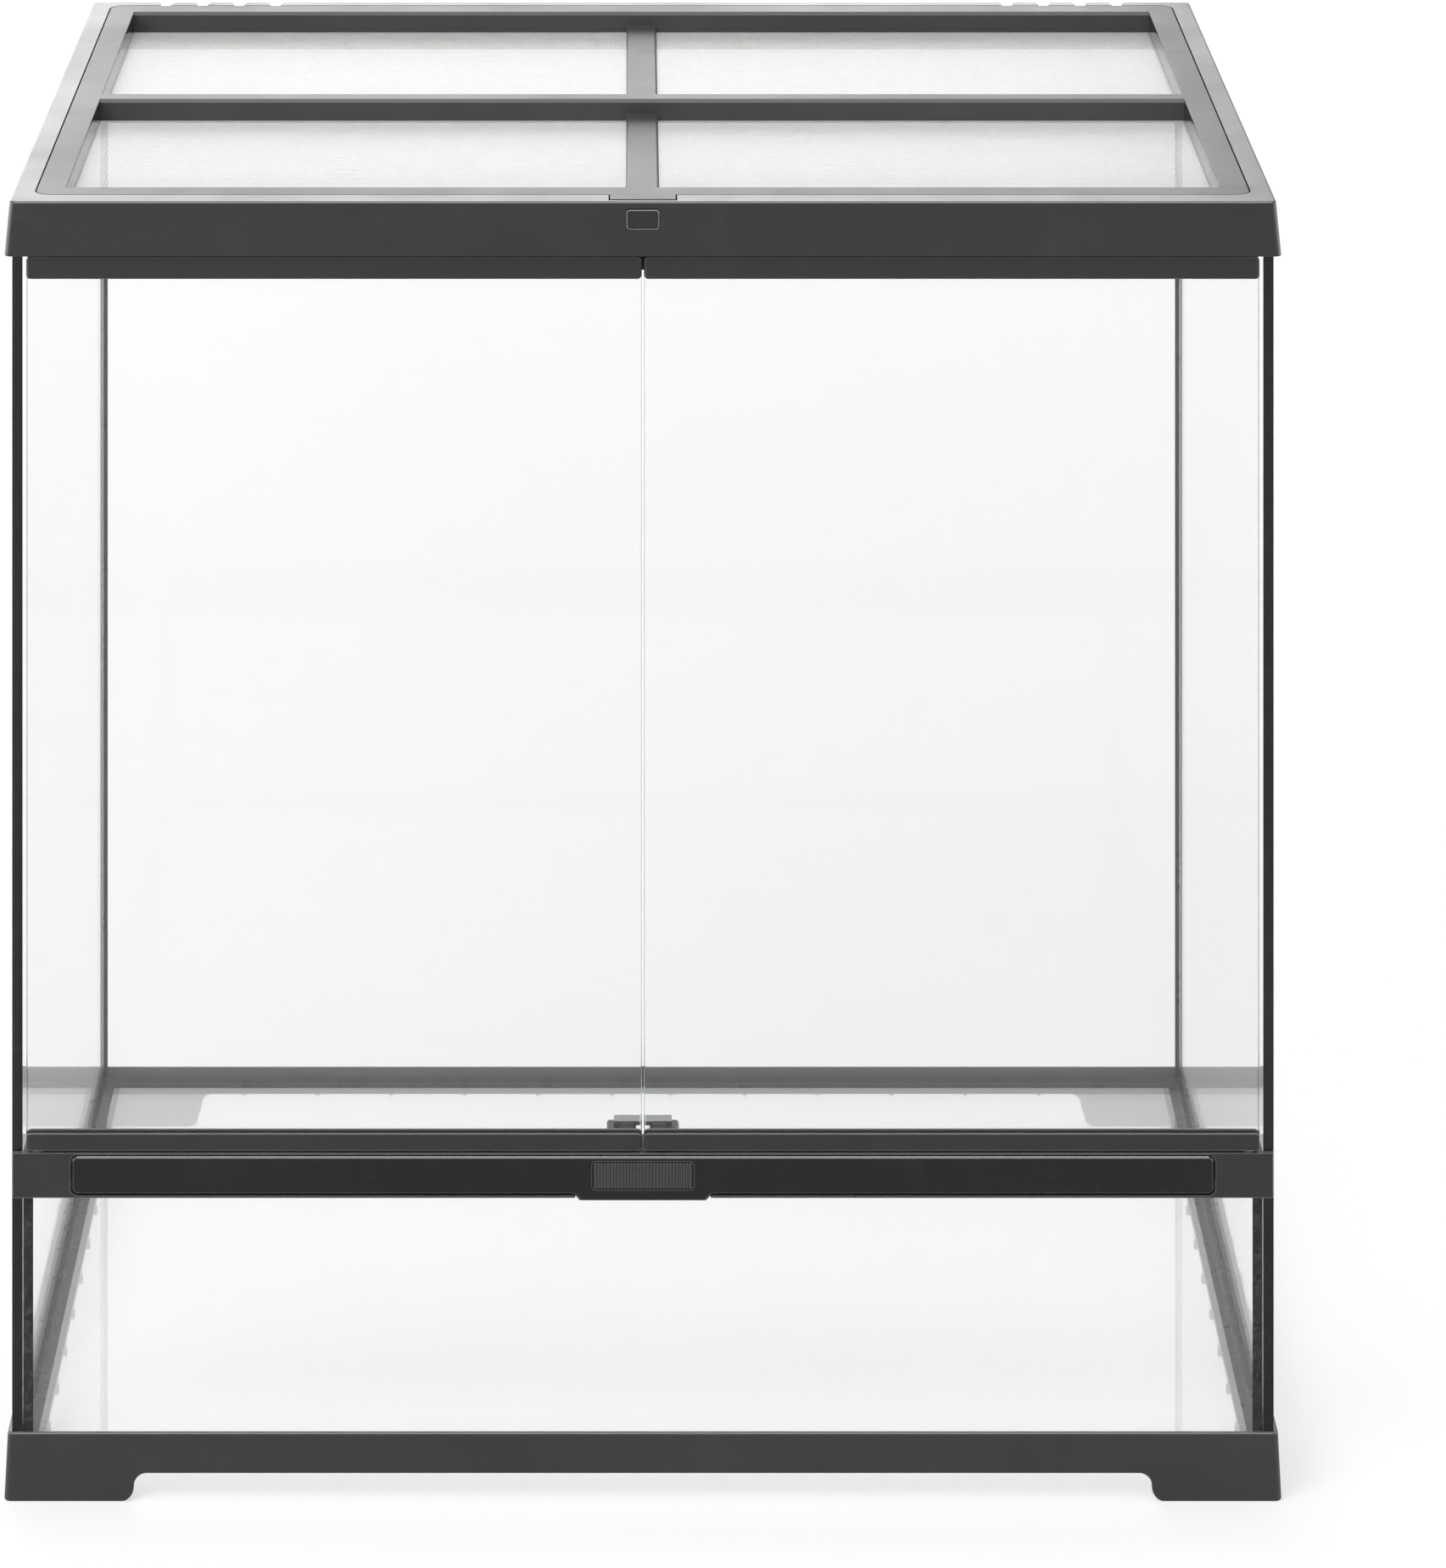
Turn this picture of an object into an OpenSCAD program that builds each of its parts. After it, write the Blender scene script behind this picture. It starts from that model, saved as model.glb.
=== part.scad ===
// Front-opening glass terrarium: a glass box held between a plastic base frame and a
// plastic top frame, with two swing doors, a latch bar below them, a tilting screen lid
// and sliding cable shutters.  +X right, +Y back, +Z up, origin under the middle.

/* [Overall size] */
// Width over the plastic frames
overall_w = 605; // [480:5:900]
// Depth over the plastic frames
overall_d = 455; // [390:5:600]
// Height from the table to the top rim
overall_h = 615; // [450:5:900]

/* [Glass] */
// Thickness of the fixed panes
glass_t = 5; // [4:0.5:6]
// Thickness of the door glass
door_glass_t = 5; // [4:0.5:5.5]
// Setback of the glass box behind the widest edge of the frames
glass_inset = 3.5; // [3.5:0.1:4.5]
// Setback of the lower front pane behind the edges of the side panes
lower_pane_setback = 1.5; // [1.2:0.1:2]
// Clearance between glass and whatever holds it
glass_gap = 0.2; // [0.1:0.05:0.4]
// Leg of the silicone fillets behind the lower front pane
front_bead_leg = 4.5; // [3:0.5:7]
// Leg of the silicone fillets in the rear corners
back_bead_leg = 2; // [1.5:0.5:5]
// Width of the silicone fillet on the floor
floor_bead_w = 6; // [3:0.5:8]
// Height of the silicone fillet on the floor
floor_bead_h = 3.5; // [2:0.5:6]

/* [Base frame] */
// Height of the base rim
base_h = 32; // [28:1:45]
// Inward lean of the base skirt over its height
base_draft = 1.4; // [0.8:0.1:1.8]
// Radius of the upright corner edges of both frames
corner_r = 3; // [2:0.5:5]
// Radius of the long outer edges of both frames
edge_r = 1.2; // [0.6:0.2:1.6]
// Wall of the base skirt below the shelf
skirt_wall = 3; // [2.5:0.5:4]
// Width of each corner foot along the skirt
foot_w = 61.5; // [40:0.5:90]
// Height of the arch between the feet
arch_h = 13.4; // [12:0.2:14]
// Radius at the top corners of the arch
arch_top_r = 6; // [3:0.5:6]
// Radius at the lower corners of the feet
foot_r = 7; // [3:0.5:7]
// Height of the shelf that carries the glass
shelf_z = 19.5; // [18.5:0.5:24]
// Thickness of the shelf
shelf_t = 2.5; // [2:0.5:3.5]
// Reach of the side shelves inward from the outside of the glass
shelf_w = 14; // [11:1:30]
// Reach of the front and back shelves inward from the outside of the glass
shelf_end_w = 7; // [6:0.5:14]
// Width of the flat sole inside each foot
sole_w = 12; // [8:1:20]
// Thickness of the sole
sole_t = 2.5; // [1.5:0.5:4]
// Thickness of the ribs under the shelf
rib_t = 1.6; // [1:0.2:3]
// Spacing of the ribs at the front and back
rib_pitch_x = 40.3; // [25:0.1:60]
// Spacing of the ribs at the sides
rib_pitch_y = 42.3; // [25:0.1:60]
// Reach of the front and back ribs inward from the skirt
rib_reach = 4; // [3:0.5:6]
// How far the side ribs stand out from under the side shelves
rib_proud = 1.2; // [0:0.1:2]

/* [Front crossbar] */
// Height of the lower edge of the crossbar
bar_z = 143.5; // [100:0.5:250]
// Height of the crossbar's front face
bar_h = 21.2; // [20:0.2:30]
// Depth of the crossbar front to back
bar_depth = 23; // [21:0.5:30]
// Setback of its front face behind the widest edge of the frames
bar_inset = 1; // [0.8:0.1:1.6]
// Wall of the crossbar
bar_wall = 2.2; // [1.6:0.2:2.6]
// How far the lower pane reaches into the crossbar
pane_lap = 6.7; // [5:0.1:7]
// Length of one vent slot
vent_slot_l = 12; // [6:1:20]
// Width of one vent slot
vent_slot_w = 3; // [2:0.5:5]
// Spacing of the vent slots
vent_pitch = 16; // [14:1:30]
// Distance of the first vent slot from the middle
vent_start = 32; // [26:1:60]

/* [Latch bar] */
// Setback of the latch bar's ends behind the widest edge of the frames
latch_inset = 32; // [30:0.5:150]
// Height of the latch bar
latch_h = 18; // [16:0.5:18]
// Thickness of the latch bar
latch_t = 2.9; // [2.4:0.1:3]
// How far the latch bar stands proud of the crossbar
latch_proud = 0.7; // [0.4:0.1:0.7]
// Corner radius of the latch bar
latch_corner_r = 3; // [1:0.5:5]
// Gap round the latch bar
latch_gap = 0.7; // [0.6:0.1:0.8]
// Bevel at the front edges of the latch bar
latch_bevel = 0.8; // [0.4:0.1:1.2]
// Wall left above the latch bar
bar_lip = 0.7; // [0.6:0.1:1.2]
// Width of the finger tab at its lower edge
tab_w = 68.7; // [40:0.1:100]
// Depth of the finger tab
tab_drop = 3; // [2:0.5:5]
// Distance of the latch hooks from the middle of the tank
hook_x = 10.2; // [9:0.1:12]
// Width of one latch hook
hook_w = 6; // [4:0.5:8]

/* [Doors] */
// Gap between a door and the side pane
door_side_gap = 1.7; // [1.5:0.1:3]
// Gap between the two doors
door_centre_gap = 1; // [0.8:0.1:3]
// Gap above and below the doors
door_end_gap = 0.8; // [0.5:0.1:1.5]
// Setback of the door glass's middle behind the widest edge of the frames
door_mid_inset = 6; // [5.5:0.1:6.5]
// Wall of the door rails beside the glass
rail_wall = 1.4; // [1:0.1:1.6]
// Floor of the door rails
rail_floor = 1.2; // [1:0.1:2]
// Height of the lower door rails
lower_rail_h = 7.8; // [7:0.1:14]
// Height of the upper door rails
upper_rail_h = 10.2; // [6:0.1:14]
// Corner radius of the rails
rail_r = 2; // [1:0.5:3]
// Distance of the hinge axis from the door's outer edge
hinge_inset = 5.3; // [4:0.1:6]
// Diameter of the hinge pins
hinge_d = 4; // [3:0.5:5]
// Radial clearance of a running pin in its bore
run_gap = 0.05; // [0.03:0.01:0.08]
// Outer diameter of the hinge bushes
bush_d = 7; // [6.5:0.5:8]
// Length of the hinge bushes
bush_l = 3.6; // [3:0.2:5]

/* [Door catches] */
// Length of a catch arm behind its rail
arm_reach = 19; // [16:0.5:24]
// Width of a catch arm
arm_w = 14; // [12:0.5:20]
// Thickness of a catch arm
arm_t = 3; // [2:0.5:4]
// Width of the strike clip
clip_w = 12.5; // [10:0.5:16]
// Depth of the strike clip
clip_d = 7.3; // [5:0.1:9]
// Thickness of the strike clip
clip_t = 0.8; // [0.6:0.1:1.5]
// Height of the pads under the strike clip
pad_t = 1.5; // [1:0.1:2.5]

/* [Top frame] */
// Height of the top frame
top_h = 25.6; // [25:0.2:32]
// Inward lean of the top frame over its height
top_draft = 2.1; // [1:0.1:2.2]
// Thickness of the frame's top and its shelf
top_t = 2.4; // [2:0.1:2.6]
// Wall round the lid pocket
pocket_wall = 2.2; // [1.6:0.1:2.4]
// Width of the band beside the lid
side_band = 11; // [10:0.5:14]
// Width of the band in front of the lid
front_band = 14.3; // [14:0.1:18]
// Width of the band behind the lid
back_band = 9.4; // [9.2:0.1:12]
// Gap round the lid
lid_gap = 0.7; // [0.5:0.1:0.8]
// Reach of the frame's shelf inward of the lid's front and rear rails
shelf_reach = 6.5; // [3:0.5:12]
// Setback of the frame's shelf behind the inner edges of the lid's side rails
shelf_setback = 3.5; // [0:0.5:5]
// Depth of the lips inside the glass
lip_h = 8; // [4:1:10]

/* [Cable inlets] */
// Number of cable notches on each side
notch_n = 4; // [2:1:5]
// Spacing of the cable notches
notch_pitch = 20; // [18:0.5:26]
// Setback of the outermost notch behind the widest edge of the frames
notch_inset = 42.5; // [40.5:0.5:100]
// Width of a notch at the outside
notch_outer_w = 8.6; // [6:0.1:9.5]
// Width of a notch at the inside
notch_inner_w = 5.6; // [4.8:0.1:8]
// Thickness of a cable shutter
shutter_t = 1.5; // [1:0.1:1.8]
// Clearance of a cable shutter in its channel
shutter_gap = 0.4; // [0.3:0.05:0.6]

/* [Lid] */
// Thickness of the lid
lid_t = 12; // [11:0.5:14]
// Corner radius of the lid
lid_corner_r = 8; // [3:0.5:12]
// Width of the lid's side rails
lid_side_rail = 13.5; // [10:0.5:20]
// Width of the lid's front rail
lid_front_rail = 15.5; // [12:0.5:24]
// Width of the lid's back rail
lid_back_rail = 17.7; // [16:0.1:24]
// Width of the bar across the middle of the lid
cross_rail_w = 13.6; // [8:0.1:24]
// Place of that bar behind the middle of the tank
cross_rail_y = -4.5; // [-40:0.5:40]
// Width of the low bars between the mesh panels
low_bar_w = 16; // [8:0.5:24]
// Height of the low bars above the mesh
low_bar_h = 3.6; // [2:0.1:6]
// Bevel at the inner edges of the lid
lid_bevel = 1.6; // [0.8:0.1:2.5]
// Thickness of the mesh
mesh_t = 0.6; // [0.4:0.1:1]
// Width of the rim that holds the mesh
mesh_rim = 3; // [2:0.5:5]
// Openings of a mesh panel from left to right
mesh_cols = 8; // [6:1:12]
// Openings of a mesh panel from front to back
mesh_rows = 6; // [4:1:12]
// Width of the bars that stand for the wires
mesh_bar_w = 3; // [2:0.5:4]
// Gap under the lid
lid_seat_gap = 0.8; // [0.6:0.1:1]
// Width of the lift tongue
tongue_w = 31.2; // [20:0.2:50]
// Length of the lift tongue
tongue_l = 10.8; // [8:0.1:11]
// Width of one rear tab of the lid
lid_tab_w = 20; // [10:1:40]
// Place of the rear tabs, as a share of the lid's half width
lid_tab_share = 0.35; // [0.15:0.05:0.5]
// Radius of the rear tabs about the lid's upper rear edge
lid_tab_r = 6; // [5:0.1:6.4]

/* [Lid button] */
// Width of the button
button_w = 15.4; // [12:0.2:20]
// Height of the button
button_h = 9.2; // [7:0.1:9.4]
// Travel of the button
button_travel = 2.8; // [2:0.1:3]
// How far the button stands proud
button_proud = 0.6; // [0.4:0.1:0.9]
// Gap round the button
button_gap = 0.4; // [0.3:0.05:0.6]

/* [Hidden] */
$fn = 48;

// colours
plastic = [0.24, 0.24, 0.25];
dark_plastic = [0.15, 0.15, 0.16];
clear_glass = [0.80, 0.90, 0.88, 0.35];
steel = [0.72, 0.73, 0.74];
silicone = [0.10, 0.10, 0.10];

// cutters reach this far past the faces that they cut
over = 1;
// fineness of the rounded frame corners
corner_fn = 32;

half_w = overall_w / 2;
half_d = overall_d / 2;

// glass box
glass_x = half_w - glass_inset;
glass_y = half_d - glass_inset;
inner_x = glass_x - glass_t;
inner_y = glass_y - glass_t;
floor_z = shelf_z + glass_t;

// top frame
top_z = overall_h - top_h;
rim_x = half_w - top_draft;
rim_y = half_d - top_draft;
lid_bottom_z = overall_h - lid_t;
top_shelf_z = lid_bottom_z - lid_seat_gap;
web_z = top_shelf_z - top_t;
pane_top_z = web_z - glass_gap;
lid_x = rim_x - side_band;
lid_front_y = -(rim_y - front_band);
lid_back_y = rim_y - back_band;
pocket_x = lid_x + lid_gap;
pocket_front_y = lid_front_y - lid_gap;
pocket_back_y = lid_back_y + lid_gap;
window_x = lid_x - lid_side_rail;
window_front_y = lid_front_y + lid_front_rail;
window_back_y = lid_back_y - lid_back_rail;
cross_front_y = cross_rail_y - cross_rail_w / 2;
cross_back_y = cross_rail_y + cross_rail_w / 2;
throat_x = window_x + shelf_setback;
throat_front_y = window_front_y + shelf_reach;
throat_back_y = window_back_y - shelf_reach;
// inner faces of the skirt above the shelf
skirt_t = 2.2;
skirt_in_x = rim_x - skirt_t;
skirt_in_y = rim_y - skirt_t;
// front beam over the doors
beam_d = 19;
beam_back_y = -(glass_y - beam_d);

// lower pane
lower_pane_y = -(glass_y - lower_pane_setback);
lower_pane_back_y = lower_pane_y + glass_t;
lower_pane_top_z = bar_z + pane_lap;

// crossbar
bar_front_y = -(half_d - bar_inset);
bar_back_y = bar_front_y + bar_depth;
bar_top_z = bar_z + bar_h;
bar_floor_z = lower_pane_top_z + glass_gap;
bar_cavity_z = bar_floor_z + bar_wall;
bar_front_web = 5.5;
bar_cavity_front_y = bar_front_y + bar_front_web;
bar_cavity_back_y = bar_back_y - bar_wall;
bar_plate_x = glass_x - 3 * glass_gap;
bar_body_x = inner_x - glass_gap;
channel_back_y = lower_pane_back_y + glass_gap;
vent_y = (channel_back_y + bar_cavity_back_y) / 2;

// latch bar
latch_w = overall_w - 2 * latch_inset;
latch_front_y = bar_front_y - latch_proud;
latch_back_y = latch_front_y + latch_t;
latch_top_z = bar_top_z - bar_lip - latch_gap;
latch_bottom_z = latch_top_z - latch_h;
latch_axis_y = latch_back_y + 0.4;
latch_axis_z = latch_top_z - 2.8;
trunnion_d = 3;
trunnion_l = 2.8;
tab_slope = 4.5;
recess_y = latch_back_y + 0.35;
window_z = latch_axis_z - 9.3;
hook_tip_y = bar_cavity_back_y - 1.3;
hook_tip_t = 2.5;
hook_arm_z = latch_axis_z - 3.5;
hook_arm_t = 2.5;
hook_top_z = bar_top_z + door_end_gap + 0.8;

// doors
door_y = -(half_d - door_mid_inset);
door_outer_x = inner_x - door_side_gap;
door_inner_x = door_centre_gap / 2;
hinge_x = door_outer_x - hinge_inset;
door_bottom_z = bar_top_z + door_end_gap;
door_top_z = top_z - door_end_gap;
rail_half_t = door_glass_t / 2 + rail_wall;
pin_l = door_end_gap + bush_l - 0.6;

// catches
arm_z = door_bottom_z + 1.5;
arm_back_y = door_y + rail_half_t + arm_reach;
arm_x = door_inner_x + 2.7;
clip_x = door_inner_x + 0.8;
clip_y = arm_back_y - clip_d;
inner_pad_w = 3.5;
outer_pad_w = 3;
lip_gap = 0.2;

// lid
mesh_z = lid_bottom_z + mesh_t;
back_relief = 4.5;
back_relief_y = lid_back_y - 9;
lid_tab_x = lid_tab_share * lid_x;
lid_tab_top_z = overall_h - top_t - 0.4;

// button
button_z = top_z + 12.7;
button_front_y = -(half_d - top_draft * (button_z + button_h / 2 - top_z) / top_h) - button_proud;
button_back_y = pocket_front_y - pocket_wall - button_travel - 2.4;
flange_w = 1.2;
flange_t = 1.4;
spring_bore_d = 4.4;
spring_bore_l = 3.2;
spring_z = button_z + 2.9;
spring_wire = 0.5;
catch_leg_w = 8;
catch_leg_t = 1.5;

// cable inlets
notch_far_x = half_w - notch_inset;
notch_floor_z = top_shelf_z + 2.2;
shutter_y = pocket_back_y + pocket_wall + shutter_gap;
shutter_z = top_shelf_z + shutter_gap;
shutter_top_z = overall_h - top_t - shutter_gap;
shutter_base_h = notch_floor_z - shutter_z - 0.2;
shutter_travel = notch_pitch / 2;
shutter_tooth_w = notch_pitch - notch_outer_w - 1.4;
// place of the shutter's grip on the right side
grip_w = 6;
grip_x = notch_far_x - (notch_n - 0.5) * notch_pitch - 16;

// ---------------------------------------------------------------- shared shapes

module block(x0, x1, y0, y1, z0, z1) {
    translate([x0, y0, z0])
        cube([x1 - x0, y1 - y0, z1 - z0]);
}

// block centred on X = 0
module slab(x, y0, y1, z0, z1) {
    block(-x, x, y0, y1, z0, z1);
}

// turns what is drawn at the right and back to the side or quarter that sx and sy name
module mirrored(sx, sy) {
    mirror([sx < 0 ? 1 : 0, 0, 0])
        mirror([0, sy < 0 ? 1 : 0, 0])
            children();
}

module rounded_rect(w, d, r) {
    square([w - 2 * r, d], center = true);
    square([w, d - 2 * r], center = true);
    for (sx = [-1, 1])
        for (sy = [-1, 1])
            translate([sx * (w / 2 - r), sy * (d / 2 - r)])
                circle(r = r);
}

// round disc whose upper edge is rounded
module round_end(r, e) {
    rotate_extrude($fn = corner_fn)
        intersection() {
            union() {
                square([r - e, e]);
                translate([r - e, 0])
                    circle(r = e, $fn = corner_fn);
            }
            square([r, e]);
        }
}

// frame outline with leaning sides and rounded edges
module leaning_block(w, d, h, draft, r, top_e, bottom_e) {
    hull()
        for (sx = [-1, 1])
            for (sy = [-1, 1]) {
                translate([sx * (w / 2 - r), sy * (d / 2 - r), bottom_e])
                    mirror([0, 0, 1])
                        round_end(r, bottom_e);
                translate([sx * (w / 2 - draft - r), sy * (d / 2 - draft - r), h - top_e])
                    round_end(r, top_e);
            }
}

// opening between two feet, flared where the feet are rounded
module arch(span) {
    half = span / 2;
    translate([-half, -over])
        square([span, over + arch_h - arch_top_r]);
    translate([-(half - arch_top_r), 0])
        square([span - 2 * arch_top_r, arch_h]);
    for (s = [-1, 1]) {
        translate([s * (half - arch_top_r), arch_h - arch_top_r])
            circle(r = arch_top_r);
        translate([s * half, -over])
            square([2 * foot_r, 2 * (over + 0.001)], center = true);
        difference() {
            translate([s * half - foot_r * (1 - s) / 2, 0])
                square([foot_r, foot_r]);
            translate([s * (half + foot_r), foot_r])
                circle(r = foot_r);
        }
    }
}

// silicone fillet with a hollow face, its right angle in the corner
module fillet_bead(length, w, h) {
    linear_extrude(length)
        polygon([[0, 0], [w, 0], [0.52 * w, 0.1 * h], [0.16 * w, 0.36 * h], [0, h]]);
}

// ---------------------------------------------------------------- base and glass

module base_frame() {
    color(plastic)
        difference() {
            union() {
                difference() {
                    leaning_block(overall_w, overall_d, base_h, base_draft, corner_r, edge_r, edge_r);
                    slab(glass_x + glass_gap, -glass_y - glass_gap, glass_y + glass_gap,
                         shelf_z, base_h + over);
                    slab(half_w - skirt_wall, -half_d + skirt_wall, half_d - skirt_wall,
                         -over, shelf_z - shelf_t);
                    slab(glass_x - shelf_w, -glass_y + shelf_end_w, glass_y - shelf_end_w,
                         0, base_h);
                }
                base_soles();
                base_ribs();
            }
            translate([0, half_d + over, 0])
                rotate([90, 0, 0])
                    linear_extrude(overall_d + 2 * over)
                        arch(overall_w - 2 * foot_w);
            translate([-half_w - over, 0, 0])
                rotate([90, 0, 90])
                    linear_extrude(overall_w + 2 * over)
                        arch(overall_d - 2 * foot_w);
        }
}

// L-shaped soles on the inside of the corner feet
module base_soles() {
    foot_in = skirt_wall - 0.5;
    for (sx = [-1, 1])
        for (sy = [-1, 1])
            mirrored(sx, sy)
                difference() {
                    block(half_w - foot_w, half_w - foot_in, half_d - foot_w, half_d - foot_in,
                          0, sole_t);
                    block(0, half_w - foot_in - sole_w, 0, half_d - foot_in - sole_w,
                          -over, sole_t + over);
                }
}

// gussets between the skirt and the shelf
module base_ribs() {
    rib_in = skirt_wall - 0.5;
    rib_z0 = arch_h;
    rib_z1 = shelf_z - shelf_t / 2;
    side_rib = shelf_w + glass_inset + rib_proud - rib_in;
    // the first pair of front and back ribs stands 0.4 of a spacing off the middle
    x_ribs = floor((half_w - foot_w / 2) / rib_pitch_x - 0.4);
    y_ribs = floor((half_d - foot_w / 2) / rib_pitch_y + 0.5);
    for (s = [-1, 1])
        for (t = [-1, 1])
            mirrored(t, s) {
                for (i = [0 : x_ribs - 1])
                    translate([(0.4 + i) * rib_pitch_x - rib_t / 2,
                               half_d - rib_in - rib_reach, rib_z0])
                        cube([rib_t, rib_reach, rib_z1 - rib_z0]);
                for (j = [0 : y_ribs - 1])
                    translate([half_w - rib_in - side_rib, (j + 0.5) * rib_pitch_y - rib_t / 2,
                               rib_z0])
                        cube([side_rib, rib_t, rib_z1 - rib_z0]);
            }
}

module bottom_pane() {
    color(clear_glass)
        slab(inner_x - glass_gap, lower_pane_back_y + glass_gap, inner_y - glass_gap,
             shelf_z, floor_z);
}

module back_pane() {
    color(clear_glass)
        slab(inner_x - glass_gap, inner_y, glass_y, shelf_z, pane_top_z);
}

module side_pane(s) {
    color(clear_glass)
        mirrored(s, 1)
            block(inner_x, glass_x, -glass_y, glass_y, shelf_z, pane_top_z);
}

module lower_front_pane() {
    color(clear_glass)
        slab(inner_x - glass_gap, lower_pane_y, lower_pane_back_y, shelf_z, lower_pane_top_z);
}

// silicone round the edge of the floor
module floor_bead() {
    color(silicone)
        intersection() {
            slab(inner_x, lower_pane_back_y, inner_y, floor_z, floor_z + floor_bead_h);
            union() {
                for (s = [-1, 1])
                    mirrored(s, 1)
                        translate([inner_x, -half_d, floor_z])
                            rotate([90, 0, 180])
                                fillet_bead(overall_d, floor_bead_w, floor_bead_h);
                translate([-half_w, lower_pane_back_y, floor_z])
                    rotate([90, 0, 90])
                        fillet_bead(overall_w, floor_bead_w, floor_bead_h);
                translate([half_w, inner_y, floor_z])
                    rotate([90, 0, 270])
                        fillet_bead(overall_w, floor_bead_w, floor_bead_h);
            }
        }
}

module back_bead(s) {
    bead_z0 = floor_z + floor_bead_h + glass_gap;
    bead_z1 = web_z - lip_h - glass_gap;
    color(silicone)
        mirrored(s, 1)
            translate([inner_x, inner_y, bead_z0])
                rotate([0, 0, 180])
                    fillet_bead(bead_z1 - bead_z0, back_bead_leg, back_bead_leg);
}

module front_bead(s) {
    bead_z0 = floor_z + floor_bead_h + glass_gap;
    bead_z1 = bar_z - glass_gap;
    color(silicone)
        mirrored(s, 1)
            translate([inner_x, lower_pane_back_y, bead_z0])
                rotate([0, 0, 90])
                    fillet_bead(bead_z1 - bead_z0, front_bead_leg, front_bead_leg);
}

// ---------------------------------------------------------------- front crossbar

// outlines of the latch bar and its finger tab in X and Z, grown by g
module latch_plate(g) {
    translate([0, (latch_top_z + latch_bottom_z) / 2])
        rounded_rect(latch_w + 2 * g, latch_h + 2 * g, latch_corner_r + g);
}

module latch_tab(g) {
    polygon([
        [-tab_w / 2 - g, latch_bottom_z + 2],
        [-tab_w / 2 + tab_slope - g, latch_bottom_z - tab_drop - g],
        [tab_w / 2 - tab_slope + g, latch_bottom_z - tab_drop - g],
        [tab_w / 2 + g, latch_bottom_z + 2]
    ]);
}

module latch_outline(g) {
    latch_plate(g);
    latch_tab(g);
}

module front_crossbar() {
    vent_n = floor((hinge_x - bush_d - vent_start) / vent_pitch);
    color(plastic)
        difference() {
            union() {
                slab(bar_plate_x, bar_front_y, -glass_y - glass_gap / 2, bar_z, bar_top_z);
                slab(bar_body_x, bar_front_y, bar_back_y, bar_floor_z, bar_top_z);
                slab(bar_body_x, bar_front_y, channel_back_y + bar_wall, bar_z,
                     bar_floor_z + over / 2);
            }
            // channel for the lower pane
            slab(inner_x, lower_pane_y - glass_gap / 2, channel_back_y, bar_z - over, bar_floor_z);
            // hollow
            slab(bar_body_x - bar_wall, bar_cavity_front_y, bar_cavity_back_y,
                 bar_cavity_z, bar_top_z - bar_wall);
            // recess for the latch bar, open behind its upper part
            translate([0, recess_y, 0])
                rotate([90, 0, 0])
                    linear_extrude(recess_y - bar_front_y + over)
                        latch_outline(latch_gap);
            slab(latch_w / 2 + latch_gap, bar_front_y + over, bar_cavity_front_y + over,
                 window_z, bar_top_z - bar_wall);
            slab(latch_w / 2 + latch_gap, bar_front_y + over, latch_axis_y + 1,
                 window_z, latch_top_z + latch_gap);
            // bores for the latch bar's trunnions
            for (s = [-1, 1])
                translate([s * (latch_w / 2 + latch_gap - over), latch_axis_y, latch_axis_z])
                    rotate([0, 90 * s, 0])
                        cylinder(d = trunnion_d + 2 * run_gap, h = trunnion_l + over);
            for (s = [-1, 1]) {
                // slots for the latch hooks
                mirrored(s, 1)
                    block(hook_x - hook_w / 2 - 0.8, hook_x + hook_w / 2 + 0.8,
                          hook_tip_y - hook_tip_t - 1, bar_cavity_back_y,
                          bar_top_z - bar_wall - over, bar_top_z + over);
                // seats of the hinge bushes
                translate([s * hinge_x, door_y, bar_top_z - bush_l])
                    cylinder(d = bush_d, h = bush_l + over);
                // vent slots
                for (i = [0 : vent_n - 1])
                    mirrored(s, 1)
                        block(vent_start + i * vent_pitch, vent_start + i * vent_pitch + vent_slot_l,
                              vent_y - vent_slot_w / 2, vent_y + vent_slot_w / 2,
                              bar_top_z - bar_wall - over, bar_top_z + over);
            }
        }
}

// fine strip of mesh under the vent slots, in two lengths
module vent_screen() {
    screen_t = 0.6;
    screen_lap = 4;
    color(steel)
        for (s = [-1, 1])
            mirrored(s, 1)
                block(vent_start - screen_lap, hinge_x - bush_d, vent_y - vent_slot_w / 2 - screen_lap / 2,
                      vent_y + vent_slot_w / 2 + screen_lap / 2, bar_top_z - bar_wall - screen_t,
                      bar_top_z - bar_wall);
}

// four nylon bushes that carry the doors' pins
module hinge_bushes() {
    color([0.75, 0.75, 0.72])
        for (s = [-1, 1])
            for (z = [bar_top_z - bush_l, top_z])
                translate([s * hinge_x, door_y, z])
                    difference() {
                        cylinder(d = bush_d, h = bush_l);
                        translate([0, 0, -over])
                            cylinder(d = hinge_d + 2 * run_gap, h = bush_l + 2 * over);
                    }
}

// leaf springs on the crossbar's floor that push the latch hooks back up
module latch_springs() {
    leaf_w = 5;
    leaf_l = 12;
    leaf_t = 0.5;
    leaf_rise = 8;
    leaf_gap = 3;
    color(steel)
        for (s = [-1, 1])
            mirrored(s, 1)
                translate([hook_x + hook_w / 2 + leaf_gap, bar_cavity_front_y + leaf_gap,
                           bar_cavity_z]) {
                    cube([leaf_w, leaf_l, leaf_t]);
                    rotate([leaf_rise, 0, 0])
                        cube([leaf_w, leaf_l - 1, leaf_t]);
                }
}

// ---------------------------------------------------------------- latch bar

// plate whose front edges are bevelled, drawn from two outlines
module bevelled_plate() {
    hull() {
        translate([0, latch_back_y, 0])
            rotate([90, 0, 0])
                linear_extrude(latch_t - latch_bevel)
                    children(0);
        translate([0, latch_back_y, 0])
            rotate([90, 0, 0])
                linear_extrude(latch_t)
                    children(1);
    }
}

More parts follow.
